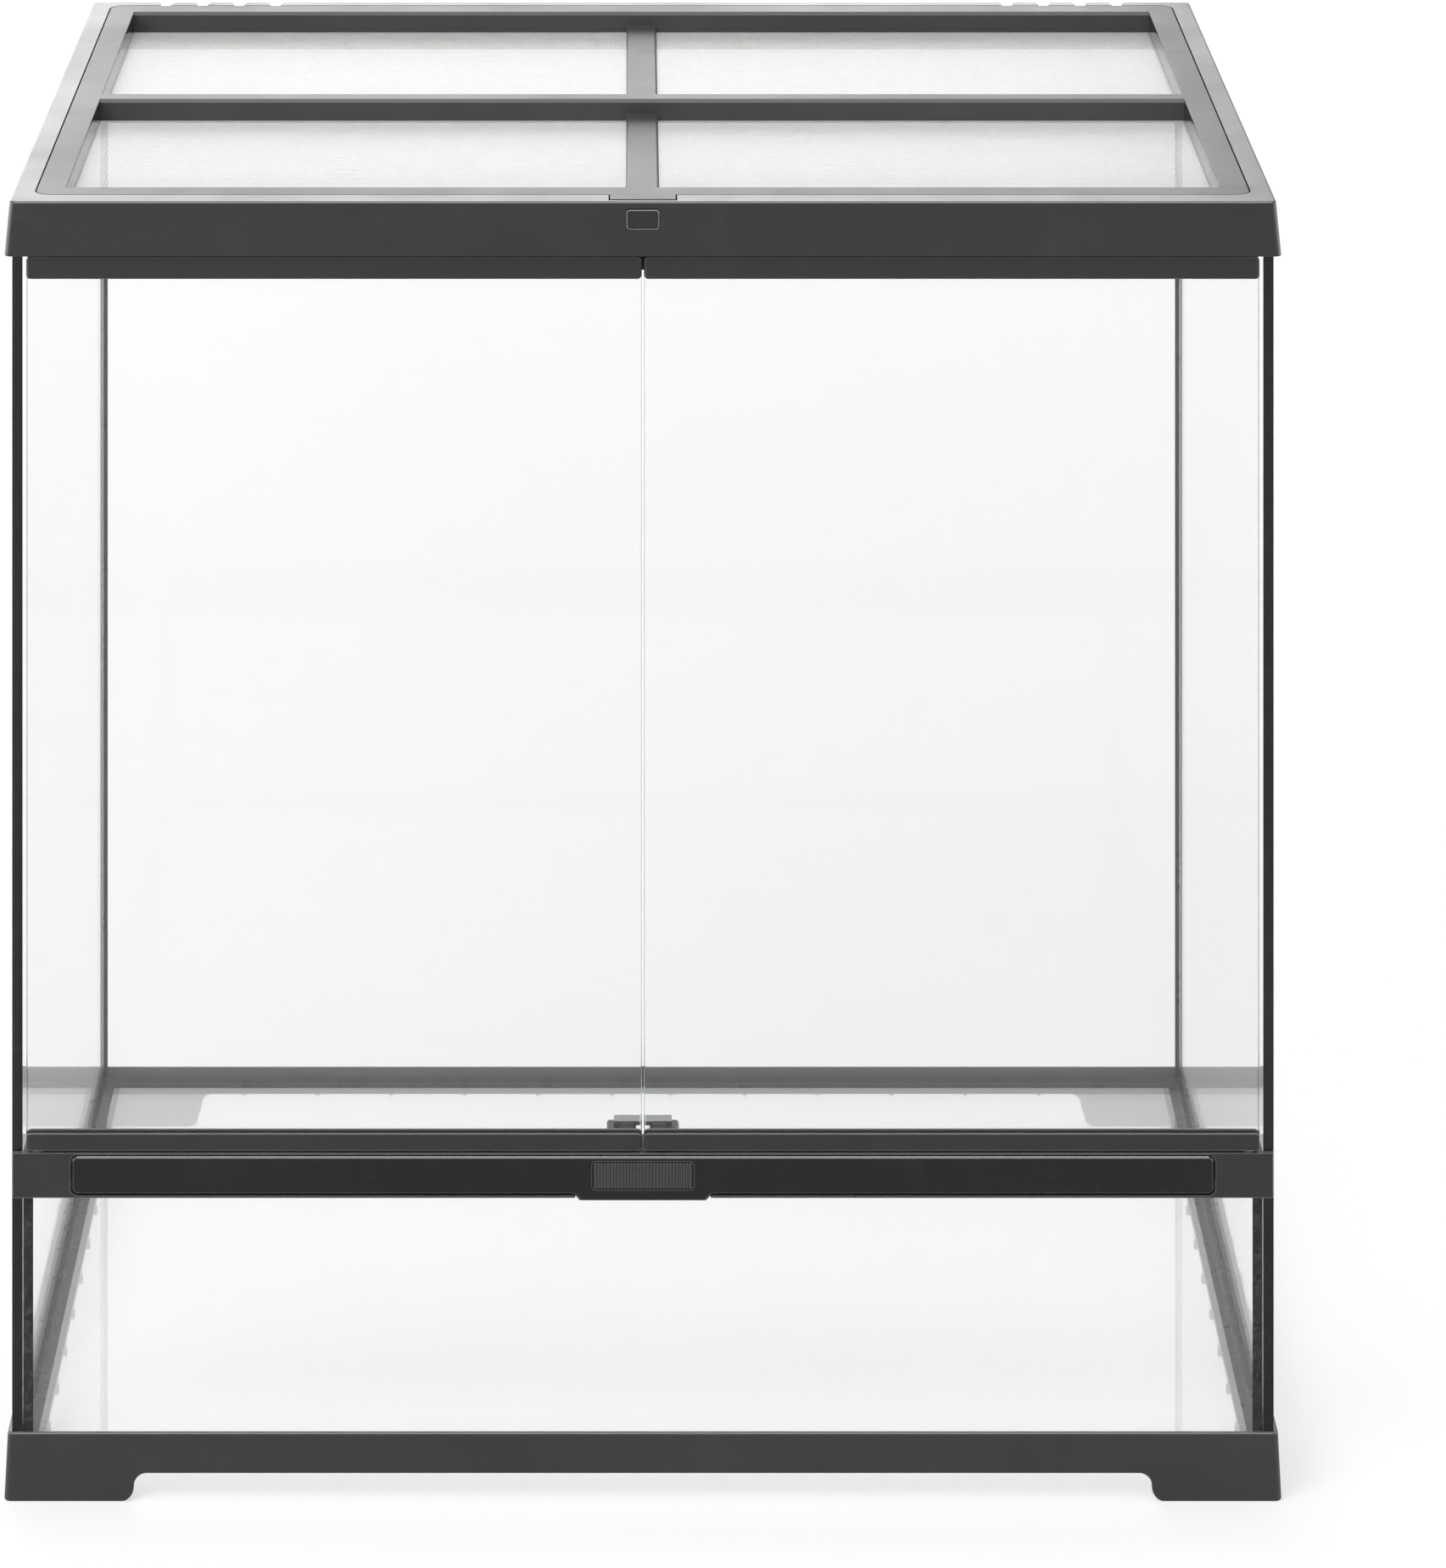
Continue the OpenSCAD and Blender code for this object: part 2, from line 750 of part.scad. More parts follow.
module latch_bar() {
    lug_l = 5.5;
    lug_back = 1.9;
    lug_up = 1.6;
    lug_down = 2.5;
    color(dark_plastic) {
        bevelled_plate() {
            latch_plate(0);
            latch_plate(-latch_bevel);
        }
        bevelled_plate() {
            latch_tab(0);
            latch_tab(-latch_bevel);
        }
        for (s = [-1, 1])
            mirrored(s, 1) {
                block(latch_w / 2 - lug_l, latch_w / 2, latch_back_y - over / 2,
                      latch_axis_y + lug_back, latch_axis_z - lug_down, latch_axis_z + lug_up);
                translate([latch_w / 2 - lug_l / 2, latch_axis_y, latch_axis_z])
                    rotate([0, 90, 0])
                        cylinder(d = trunnion_d, h = lug_l / 2 + trunnion_l);
            }
    }
}

// two hooks behind the latch bar, their teeth rising through the crossbar's slots
module latch_hooks() {
    color(steel)
        for (s = [-1, 1])
            mirrored(s, 1) {
                block(hook_x - hook_w / 2, hook_x + hook_w / 2, latch_back_y, hook_tip_y,
                      hook_arm_z, hook_arm_z + hook_arm_t);
                block(hook_x - hook_w / 2, hook_x + hook_w / 2, hook_tip_y - hook_tip_t, hook_tip_y,
                      hook_arm_z, hook_top_z);
                block(hook_x - hook_w / 2, hook_x + hook_w / 2, latch_back_y, latch_back_y + 1.2,
                      hook_arm_z - 3, hook_arm_z + hook_arm_t + 1.5);
            }
}

// ---------------------------------------------------------------- doors

// doors are drawn for the right side and mirrored for the left
module door_glass(s) {
    color(clear_glass)
        mirrored(s, 1)
            block(door_inner_x, door_outer_x, door_y - door_glass_t / 2, door_y + door_glass_t / 2,
                  door_bottom_z + rail_floor, door_top_z - rail_floor);
}

module rail_body(z0, h) {
    rail_l = door_outer_x - door_inner_x;
    rail_mid = (door_outer_x + door_inner_x) / 2;
    rail_end_r = 1.5;
    intersection() {
        translate([rail_mid, door_y, z0])
            linear_extrude(h)
                rounded_rect(rail_l, 2 * rail_half_t, rail_end_r);
        translate([rail_mid, door_y + half_d, z0 + h / 2])
            rotate([90, 0, 0])
                linear_extrude(overall_d)
                    rounded_rect(rail_l, h, rail_r);
    }
}

module lower_rail(s) {
    color(plastic)
        mirrored(s, 1) {
            difference() {
                rail_body(door_bottom_z, lower_rail_h);
                block(0, half_w, door_y - door_glass_t / 2, door_y + door_glass_t / 2,
                      door_bottom_z + rail_floor, door_bottom_z + lower_rail_h + over);
                translate([hinge_x, door_y, door_bottom_z - over])
                    cylinder(d = hinge_d, h = rail_floor + 2 * over);
            }
        }
}

module upper_rail(s) {
    color(plastic)
        mirrored(s, 1) {
            difference() {
                rail_body(door_top_z - upper_rail_h, upper_rail_h);
                block(0, half_w, door_y - door_glass_t / 2, door_y + door_glass_t / 2,
                      door_top_z - upper_rail_h - over, door_top_z - rail_floor);
                translate([hinge_x, door_y, door_top_z - rail_floor - over])
                    cylinder(d = hinge_d, h = rail_floor + 2 * over);
            }
        }
}

// two steel pins pressed into the door's rails
module hinge_pins(s) {
    color(steel)
        mirrored(s, 1)
            for (z = [door_bottom_z - pin_l, door_top_z - rail_floor])
                translate([hinge_x, door_y, z])
                    cylinder(d = hinge_d, h = pin_l + rail_floor);
}

module catch_arm(s) {
    round_r = 1.5;
    color(dark_plastic)
        mirrored(s, 1)
            translate([arm_x, 0, arm_z]) {
                block(0, arm_w - round_r, door_y + rail_half_t, arm_back_y, 0, arm_t);
                block(0, arm_w, door_y + rail_half_t, arm_back_y, 0, arm_t - round_r);
                translate([arm_w - round_r, arm_back_y, arm_t - round_r])
                    rotate([90, 0, 0])
                        cylinder(r = round_r, h = arm_back_y - door_y - rail_half_t);
            }
}

// two rubber pads under each strike clip
module catch_pads(s) {
    color(dark_plastic)
        mirrored(s, 1)
            translate([clip_x, 0, arm_z + arm_t]) {
                block(0, inner_pad_w, clip_y + lip_gap, clip_y + clip_d, 0, pad_t);
                block(clip_w - outer_pad_w, clip_w, clip_y + lip_gap, clip_y + clip_d, 0, pad_t);
            }
}

// steel clip with a lip turned down between the pads
module strike_clip(s) {
    color(steel)
        mirrored(s, 1)
            translate([clip_x, 0, arm_z + arm_t]) {
                block(0, clip_w, clip_y, clip_y + clip_d, pad_t, pad_t + clip_t);
                block(inner_pad_w + lip_gap, clip_w - outer_pad_w - lip_gap, clip_y, clip_y + clip_t,
                      0, pad_t + clip_t);
            }
}

// ---------------------------------------------------------------- top frame

module pocket_plan(g) {
    translate([0, (lid_front_y + lid_back_y) / 2])
        rounded_rect(2 * (lid_x + g), lid_back_y - lid_front_y + 2 * g, lid_corner_r + g);
}

// notch outline seen from above, its inner end towards the lid
module notch_plan() {
    notch_y = pocket_back_y - lid_gap / 2;
    neck_y = rim_y - 5.5;
    mouth_y = rim_y - 1;
    polygon([
        [-notch_inner_w / 2, notch_y],
        [notch_inner_w / 2, notch_y],
        [notch_inner_w / 2, neck_y],
        [notch_outer_w / 2, mouth_y],
        [notch_outer_w / 2, half_d + over],
        [-notch_outer_w / 2, half_d + over],
        [-notch_outer_w / 2, mouth_y],
        [-notch_inner_w / 2, neck_y]
    ]);
}

module at_notches() {
    for (s = [-1, 1])
        for (i = [0 : notch_n - 1])
            translate([s * (notch_far_x - i * notch_pitch), 0, 0])
                children();
}

module top_frame() {
    skirt_x = glass_x + glass_gap;
    skirt_y = glass_y + glass_gap;
    color(plastic)
        difference() {
            union() {
                difference() {
                    translate([0, 0, top_z])
                        leaning_block(overall_w, overall_d, top_h, top_draft, corner_r, edge_r, 0.6);
                    // seat of the panes
                    slab(skirt_x, -skirt_y, skirt_y, top_z - over, web_z);
                    // channel between the skirt and the lid pocket
                    difference() {
                        slab(skirt_in_x, -skirt_in_y, skirt_in_y, top_shelf_z, overall_h - top_t);
                        slab(pocket_x + pocket_wall, pocket_front_y - pocket_wall,
                             pocket_back_y + pocket_wall, top_shelf_z - over, overall_h);
                    }
                    // lid pocket and throat
                    translate([0, 0, top_shelf_z])
                        linear_extrude(overall_h)
                            pocket_plan(lid_gap);
                    slab(throat_x, throat_front_y, throat_back_y, top_z - over, overall_h);
                }
                // lips inside the side and back panes
                for (s = [-1, 1])
                    mirrored(s, 1)
                        block(inner_x - glass_gap - pocket_wall, inner_x - glass_gap,
                              beam_back_y - 0.5, inner_y - glass_gap,
                              web_z - lip_h, web_z + 0.5);
                slab(inner_x - glass_gap, inner_y - glass_gap - pocket_wall, inner_y - glass_gap,
                     web_z - lip_h, web_z + 0.5);
                // front beam that carries the upper hinge bushes
                slab(bar_body_x, -glass_y - glass_gap - 0.5, beam_back_y, top_z, top_z + top_t);
                slab(bar_body_x, beam_back_y - pocket_wall, beam_back_y, top_z, web_z + 0.5);
            }
            for (s = [-1, 1]) {
                translate([s * hinge_x, door_y, top_z - over])
                    cylinder(d = bush_d, h = bush_l + over);
                // curved seats of the lid's rear tabs
                lid_tab(s, 2 * run_gap, pocket_back_y - over, pocket_back_y + pocket_wall + over);
                // windows for the grips of the cable shutters
                mirrored(s, 1)
                    block(grip_x - 0.6, grip_x + grip_w + shutter_travel + 0.6,
                          pocket_back_y - over, pocket_back_y + pocket_wall + over,
                          shutter_z - shutter_gap, notch_floor_z + 0.6);
            }
            // notch for the lift tongue, opening for the button and room for its flange
            slab(tongue_w / 2 + lid_gap, lid_front_y - tongue_l - lid_gap, pocket_front_y + over,
                 overall_h - top_t - over / 2, overall_h + over);
            translate([0, -skirt_in_y + over, button_z + button_h / 2])
                rotate([90, 0, 0])
                    linear_extrude(half_d)
                        rounded_rect(button_w + 2 * button_gap, button_h + 2 * button_gap, 1.8);
            slab(button_w / 2 + flange_w + 0.4, -skirt_in_y, pocket_front_y - pocket_wall - 1.5,
                 web_z - over, top_shelf_z + over);
            // cable notches and the slots in the shelf below them
            at_notches() {
                translate([0, 0, notch_floor_z])
                    linear_extrude(overall_h)
                        notch_plan();
                slab(notch_inner_w / 2, back_relief_y, pocket_back_y - over, web_z - over,
                     top_shelf_z + over);
            }
        }
}

// ---------------------------------------------------------------- cable shutters

module cable_shutter(s) {
    base_x1 = notch_far_x + notch_outer_w / 2 + 1.2;
    color(dark_plastic)
        mirrored(s, 1) {
            block(grip_x, base_x1, shutter_y, shutter_y + shutter_t, shutter_z,
                  shutter_z + shutter_base_h);
            for (i = [0 : notch_n - 1])
                translate([notch_far_x - (i + 0.5) * notch_pitch, 0, 0])
                    slab(shutter_tooth_w / 2, shutter_y, shutter_y + shutter_t, shutter_z,
                         shutter_top_z);
            block(grip_x, grip_x + grip_w, pocket_back_y - 0.5, shutter_y + shutter_t,
                  shutter_z, shutter_z + shutter_base_h);
        }
}

// ---------------------------------------------------------------- lid

// straight-sided window with a bevelled upper edge
module lid_window(y0, y1) {
    slab(window_x, y0, y1, lid_bottom_z - over, overall_h + over);
    hull() {
        slab(window_x, y0, y1, overall_h - lid_bevel, overall_h + over);
        slab(window_x + lid_bevel, y0 - lid_bevel, y1 + lid_bevel, overall_h, overall_h + over);
    }
}

// low bar with rounded upper edges, between two mesh panels
module low_bar(y0, y1) {
    bar_r = 1.5;
    top = mesh_z + low_bar_h;
    slab(low_bar_w / 2 - bar_r, y0, y1, lid_bottom_z, top);
    slab(low_bar_w / 2, y0, y1, lid_bottom_z, top - bar_r);
    for (s = [-1, 1])
        translate([s * (low_bar_w / 2 - bar_r), y1, top - bar_r])
            rotate([90, 0, 0])
                cylinder(r = bar_r, h = y1 - y0);
}

// rim of one mesh panel, x and y from edge to edge of its window
module mesh_plan(s, y0, y1, grow) {
    x0 = low_bar_w / 2 - grow;
    x1 = window_x + grow;
    translate([s > 0 ? x0 : -x1, y0 - grow])
        square([x1 - x0, y1 - y0 + 2 * grow]);
}

// rear tab from y0 to y1, rounded about the lid's upper rear edge; g is the radial clearance of
// its seat, which is wider and higher than that so that only the round face bears
module lid_tab(s, g, y0, y1) {
    intersection() {
        translate([s * lid_tab_x - lid_tab_w / 2 - 5 * g, lid_back_y, overall_h])
            rotate([0, 90, 0])
                cylinder(r = lid_tab_r + g, h = lid_tab_w + 10 * g, $fn = 96);
        slab(overall_w, y0, y1, overall_h - lid_tab_r - over, lid_tab_top_z + 4 * g);
    }
}

module lid_frame() {
    color(plastic)
        difference() {
            union() {
                difference() {
                    union() {
                        translate([0, 0, lid_bottom_z])
                            linear_extrude(lid_t)
                                pocket_plan(0);
                        // lift tongue
                        slab(tongue_w / 2, lid_front_y - tongue_l, lid_front_y + over,
                             overall_h - top_t, overall_h);
                        // rear tabs
                        for (s = [-1, 1])
                            lid_tab(s, 0, lid_back_y - over, lid_back_y + lid_tab_r);
                    }
                    lid_window(window_front_y, cross_front_y);
                    lid_window(cross_back_y, window_back_y);
                    // relief under the back edge for cables
                    slab(lid_x + over, back_relief_y, lid_back_y + over, lid_bottom_z - over,
                         lid_bottom_z + back_relief);
                }
                low_bar(window_front_y - over, cross_front_y + over);
                low_bar(cross_back_y - over, window_back_y + over);
            }
            // seats of the mesh panels and their retainers
            for (s = [-1, 1])
                translate([0, 0, lid_bottom_z - over])
                    linear_extrude(over + 2 * mesh_t) {
                        mesh_plan(s, window_front_y, cross_front_y, mesh_rim + glass_gap);
                        mesh_plan(s, cross_back_y, window_back_y, mesh_rim + glass_gap);
                    }
        }
}

// two layers of flat bars, one across the other, which stand for the fine woven mesh
module mesh_panel(s, y0, y1) {
    layer_gap = 0.05;
    layer_t = (mesh_t - layer_gap) / 2;
    x0 = low_bar_w / 2 - mesh_rim;
    x1 = window_x + mesh_rim;
    col_pitch = (x1 - x0 - mesh_bar_w) / mesh_cols;
    row_pitch = (y1 - y0 + 2 * mesh_rim - mesh_bar_w) / mesh_rows;
    color(steel)
        mirrored(s, 1)
            translate([x0, y0 - mesh_rim, mesh_z]) {
                for (j = [0 : mesh_rows])
                    translate([0, j * row_pitch, 0])
                        cube([x1 - x0, mesh_bar_w, layer_t]);
                for (i = [0 : mesh_cols])
                    translate([i * col_pitch, 0, layer_t + layer_gap])
                        cube([mesh_bar_w, y1 - y0 + 2 * mesh_rim, layer_t]);
            }
}

// flat rings that hold the mesh panels from below
module mesh_retainers() {
    color([0.55, 0.54, 0.51])
        translate([0, 0, lid_bottom_z])
            linear_extrude(mesh_t)
                for (s = [-1, 1]) {
                    mesh_ring(s, window_front_y, cross_front_y);
                    mesh_ring(s, cross_back_y, window_back_y);
                }
}

module mesh_ring(s, y0, y1) {
    difference() {
        mesh_plan(s, y0, y1, mesh_rim);
        mesh_plan(s, y0, y1, 0);
    }
}

// hook under the lift tongue
module lid_catch() {
    leg_y = pocket_front_y - pocket_wall - 0.4;
    leg_z = button_z + button_h * 0.7;
    color(dark_plastic)
        slab(catch_leg_w / 2, leg_y - catch_leg_t, leg_y, leg_z, overall_h - top_t);
}

// ---------------------------------------------------------------- lid button

module lid_button() {
    flange_y = -skirt_in_y + 0.4;
    mid_z = button_z + button_h / 2;
    color(plastic)
        difference() {
            union() {
                translate([0, button_back_y, mid_z])
                    rotate([90, 0, 0])
                        linear_extrude(button_back_y - button_front_y)
                            rounded_rect(button_w, button_h, 1.5);
                slab(button_w / 2 + flange_w, flange_y, flange_y + flange_t,
                     button_z - flange_w, button_z + button_h + 0.5);
            }
            translate([0, button_back_y + over, spring_z])
                rotate([90, 0, 0])
                    cylinder(d = spring_bore_d, h = spring_bore_l + over);
        }
}

// return spring of the button, drawn as closed coils
module button_spring() {
    y0 = button_back_y - spring_bore_l + 0.3;
    y1 = pocket_front_y - pocket_wall - 0.1;
    coils = 7;
    coil_r = spring_bore_d / 2 - 0.3 - spring_wire / 2;
    color(steel)
        for (i = [0 : coils - 1])
            translate([0, y0 + spring_wire / 2 + i * (y1 - y0 - spring_wire) / (coils - 1), spring_z])
                rotate([90, 0, 0])
                    rotate_extrude()
                        translate([coil_r, 0])
                            circle(d = spring_wire, $fn = 16);
}

// ---------------------------------------------------------------- nodes

base_frame();
bottom_pane();
back_pane();
side_pane(-1);  // left_pane
side_pane(1);  // right_pane
lower_front_pane();
floor_bead();
back_bead(-1);  // back_left_bead
back_bead(1);  // back_right_bead
front_bead(-1);  // front_left_bead
front_bead(1);  // front_right_bead
front_crossbar();
vent_screen();
hinge_bushes();
latch_springs();
top_frame();
door_glass(-1);  // left_door_glass
lower_rail(-1);  // left_lower_rail
upper_rail(-1);  // left_upper_rail
hinge_pins(-1);  // left_hinge_pins
catch_arm(-1);  // left_catch_arm
catch_pads(-1);  // left_catch_pads
strike_clip(-1);  // left_strike_clip
door_glass(1);  // right_door_glass
lower_rail(1);  // right_lower_rail
upper_rail(1);  // right_upper_rail
hinge_pins(1);  // right_hinge_pins
catch_arm(1);  // right_catch_arm
catch_pads(1);  // right_catch_pads
strike_clip(1);  // right_strike_clip
lid_frame();
mesh_panel(-1, window_front_y, cross_front_y);  // front_left_mesh
mesh_panel(1, window_front_y, cross_front_y);  // front_right_mesh
mesh_panel(-1, cross_back_y, window_back_y);  // back_left_mesh
mesh_panel(1, cross_back_y, window_back_y);  // back_right_mesh
mesh_retainers();
lid_catch();
lid_button();
button_spring();
latch_bar();
latch_hooks();
cable_shutter(-1);  // left_cable_shutter
cable_shutter(1);  // right_cable_shutter
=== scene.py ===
"""Looks of a front-opening glass terrarium with a screen lid."""
import math

import bpy
from mathutils import Matrix, Vector


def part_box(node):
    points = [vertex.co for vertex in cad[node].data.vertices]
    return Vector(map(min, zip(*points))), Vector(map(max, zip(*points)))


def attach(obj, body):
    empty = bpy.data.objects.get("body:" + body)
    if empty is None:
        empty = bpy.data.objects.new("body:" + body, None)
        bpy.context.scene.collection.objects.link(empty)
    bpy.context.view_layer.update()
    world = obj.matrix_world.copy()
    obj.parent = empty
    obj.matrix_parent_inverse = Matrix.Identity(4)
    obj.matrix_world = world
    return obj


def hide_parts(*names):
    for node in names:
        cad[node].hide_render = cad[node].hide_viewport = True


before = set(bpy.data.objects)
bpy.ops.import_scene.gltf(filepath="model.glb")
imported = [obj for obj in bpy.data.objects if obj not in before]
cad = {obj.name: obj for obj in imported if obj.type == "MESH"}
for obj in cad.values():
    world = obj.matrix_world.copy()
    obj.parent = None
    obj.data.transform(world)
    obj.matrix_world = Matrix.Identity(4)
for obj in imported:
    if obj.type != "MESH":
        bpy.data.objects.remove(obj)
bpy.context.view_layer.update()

MM = 0.001


# ---------------------------------------------------------------------------
# Base frame: one black plastic moulding that the glass box is glued into.
# Injection moulded, with a fine matt grain; its outer edges are paler, partly rubbed wear and
# partly a painted highlight.

def deselect_all():
    for o in bpy.context.selected_objects:
        o.select_set(False)


def make_active(obj):
    deselect_all()
    obj.select_set(True)
    bpy.context.view_layer.objects.active = obj


def apply_modifiers(obj):
    make_active(obj)
    for m in list(obj.modifiers):
        bpy.ops.object.modifier_apply(modifier=m.name)


def copy_of(node, name):
    """A merged copy of a CAD node's mesh, ready to be worked on."""
    piece = bpy.data.objects.new(name, cad[node].data.copy())
    piece.data.name = name
    bpy.context.scene.collection.objects.link(piece)
    piece.data.materials.clear()
    make_active(piece)
    bpy.ops.object.mode_set(mode="EDIT")
    bpy.ops.mesh.select_all(action="SELECT")
    bpy.ops.mesh.remove_doubles(threshold=1e-6)
    bpy.ops.mesh.customdata_custom_splitnormals_clear()
    bpy.ops.mesh.dissolve_limited(angle_limit=math.radians(0.5))
    bpy.ops.object.mode_set(mode="OBJECT")
    return piece


def soften_edges(piece, width, segments=2, angle=30):
    """Rounds the piece's sharp edges, as a mould or a file leaves them."""
    make_active(piece)
    bpy.ops.object.shade_smooth()
    bevel = piece.modifiers.new("edge round", "BEVEL")
    bevel.width = width
    bevel.segments = segments
    bevel.limit_method = "ANGLE"
    bevel.angle_limit = math.radians(angle)
    bevel.use_clamp_overlap = True
    flats = piece.modifiers.new("flat faces", "WEIGHTED_NORMAL")
    flats.weight = 100
    apply_modifiers(piece)


def put_on(piece, material, body, slot, *nodes):
    """Gives a finished piece its material, its body and the nodes it stands for."""
    piece.data.materials.clear()
    piece.data.materials.append(material)
    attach(piece, body)
    if nodes:
        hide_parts(*nodes)
    return piece


def dress(node, material):
    """Gives a CAD node a finished material."""
    mesh = cad[node].data
    if not mesh.materials:
        mesh.materials.append(material)
    for i in range(len(mesh.materials)):
        mesh.materials[i] = material


def new_group(name, inputs, outputs):
    """An empty shader node group with its named inputs and outputs."""
    group = bpy.data.node_groups.new(name, "ShaderNodeTree")
    for label, value in inputs:
        kind = "NodeSocketColor" if isinstance(value, tuple) else "NodeSocketFloat"
        socket = group.interface.new_socket(label, in_out="INPUT", socket_type=kind)
        socket.default_value = value
    for label, kind in outputs:
        group.interface.new_socket(label, in_out="OUTPUT", socket_type="NodeSocket" + kind)
    return group


class Wiring:
    """Short way to add and join the nodes of one tree."""

    def __init__(self, tree):
        self.tree = tree

    def node(self, kind, links=None, **values):
        n = self.tree.nodes.new("ShaderNode" + kind)
        for key, value in values.items():
            setattr(n, key, value)
        for socket, source in (links or {}).items():
            if isinstance(source, bpy.types.NodeSocket):
                self.tree.links.new(source, n.inputs[socket])
            else:
                n.inputs[socket].default_value = source
        return n

    def math(self, operation, a, b=0.0, clamp=False):
        return self.node("Math", {0: a, 1: b}, operation=operation, use_clamp=clamp).outputs[0]

    def spread(self, value, low, high, to_low=0.0, to_high=1.0):
        links = {"Value": value, "From Min": low, "From Max": high,
                 "To Min": to_low, "To Max": to_high}
        return self.node("MapRange", links).outputs["Result"]

    def mix(self, factor, a, b, blend="MIX"):
        n = self.node("Mix", {"Factor": factor}, data_type="RGBA", blend_type=blend)
        for socket, source in ((6, a), (7, b)):
            if isinstance(source, bpy.types.NodeSocket):
                self.tree.links.new(source, n.inputs[socket])
            else:
                n.inputs[socket].default_value = (*source[:3], 1)
        return n.outputs[2]

    def noise(self, place, scale, detail=3.0, rough=0.5):
        links = {"Vector": place, "Scale": scale, "Detail": detail, "Roughness": rough}
        return self.node("TexNoise", links).outputs["Fac"]


WORN_AND_HIGHLIT_RADIUS = 0.0005
DUST_GREY = (0.055, 0.055, 0.056)


def moulded_finish_and_edge_highlight():
    """Grain, flow marks and dust of moulded plastic, with paler edges that are partly rubbed wear
    and partly a painted highlight.
    """
    group = new_group(
        "moulded_finish_and_edge_highlight",
        [("Colour", (0.02, 0.02, 0.02, 1)), ("Edge colour", (0.1, 0.1, 0.1, 1)),
         ("Grain size", 0.0005), ("Roughness", 0.4), ("Rubbed and highlit", 0.5)],
        [("Colour", "Color"), ("Roughness", "Float"), ("Height", "Float")],
    )
    w = Wiring(group)
    put = group.nodes.new("NodeGroupInput")
    out = group.nodes.new("NodeGroupOutput")
    place = w.node("TexCoord").outputs["Object"]
    grain_scale = w.math("DIVIDE", 1.0, put.outputs["Grain size"])
    grain = w.noise(place, grain_scale, 2.0, 0.6)
    stipple = w.node("TexVoronoi", {"Vector": place, "Scale": grain_scale}).outputs["Distance"]
    flow = w.noise(place, 9.0, 4.0, 0.55)
    rounded = w.node("Bevel", {"Radius": WORN_AND_HIGHLIT_RADIUS}, samples=4).outputs["Normal"]
    plain = w.node("NewGeometry").outputs["Normal"]
    turn = w.node("VectorMath", {0: rounded, 1: plain}, operation="DOT_PRODUCT").outputs["Value"]
    # Edge mask from the Bevel node: it lightens the edges toward the edge colour, partly rubbed
    # wear and partly a painted highlight line.
    edge = w.math("MULTIPLY", w.spread(turn, 0.998, 0.93), put.outputs["Rubbed and highlit"])
    dust = w.spread(w.noise(place, 34.0, 6.0, 0.7), 0.52, 0.80, 0.0, 0.20)
    tone = w.spread(flow, 0.3, 0.7, 0.88, 1.12)
    shade = w.node("VectorMath", {0: put.outputs["Colour"]}, operation="SCALE")
    w.tree.links.new(tone, shade.inputs["Scale"])
    body = w.mix(dust, shade.outputs[0], DUST_GREY)
    body = w.mix(edge, body, put.outputs["Edge colour"])
    w.tree.links.new(body, out.inputs["Colour"])
    rough = w.math("ADD", put.outputs["Roughness"], w.spread(flow, 0.3, 0.7, -0.04, 0.05))
    rough = w.math("ADD", rough, w.math("MULTIPLY", dust, 0.25))
    w.tree.links.new(rough, out.inputs["Roughness"])
    height = w.math("ADD", w.math("MULTIPLY", grain, 0.7), w.math("MULTIPLY", stipple, 0.3))
    w.tree.links.new(height, out.inputs["Height"])
    return group


moulded = moulded_finish_and_edge_highlight()


def plastic(name, colour, roughness, specular, grain_size=0.0005, bump=0.05, rubbed_and_highlit=0.5,
            edge_highlight_tone=0.086):
    """Moulded plastic of one colour and gloss, paler along its edges: partly rubbed wear, partly a
    painted highlight.
    """
    material = bpy.data.materials.new(name)
    material.use_nodes = True
    w = Wiring(material.node_tree)
    skin = material.node_tree.nodes["Principled BSDF"]
    finish = w.node("Group", {}, node_tree=moulded)
    finish.inputs["Colour"].default_value = (*colour, 1)
    finish.inputs["Edge colour"].default_value = (edge_highlight_tone, edge_highlight_tone, edge_highlight_tone * 1.03, 1)
    finish.inputs["Grain size"].default_value = grain_size
    finish.inputs["Roughness"].default_value = roughness
    finish.inputs["Rubbed and highlit"].default_value = rubbed_and_highlit
    height = finish.outputs["Height"]
    relief = w.node("Bump", {"Height": height, "Strength": bump, "Distance": 0.0002})
    w.tree.links.new(finish.outputs["Colour"], skin.inputs["Base Color"])
    w.tree.links.new(finish.outputs["Roughness"], skin.inputs["Roughness"])
    w.tree.links.new(relief.outputs["Normal"], skin.inputs["Normal"])
    skin.inputs["Specular IOR Level"].default_value = specular
    return material


# The pale edge colour paints a highlight line along the base's rim and corners.
base_black = plastic("base_black_plastic", (0.022, 0.022, 0.023), 0.44, 0.42,
                     rubbed_and_highlit=0.9, edge_highlight_tone=0.30)

base = copy_of("base_frame", "base_frame_moulding")
soften_edges(base, 0.5 * MM)
put_on(base, base_black, "tank", "frame_plastic", "base_frame")


# ---------------------------------------------------------------------------
# Glass box: five cut float-glass panes.  Faces are clear with a breath of green;
# the ground edges are dark where the silicone behind them shows through.

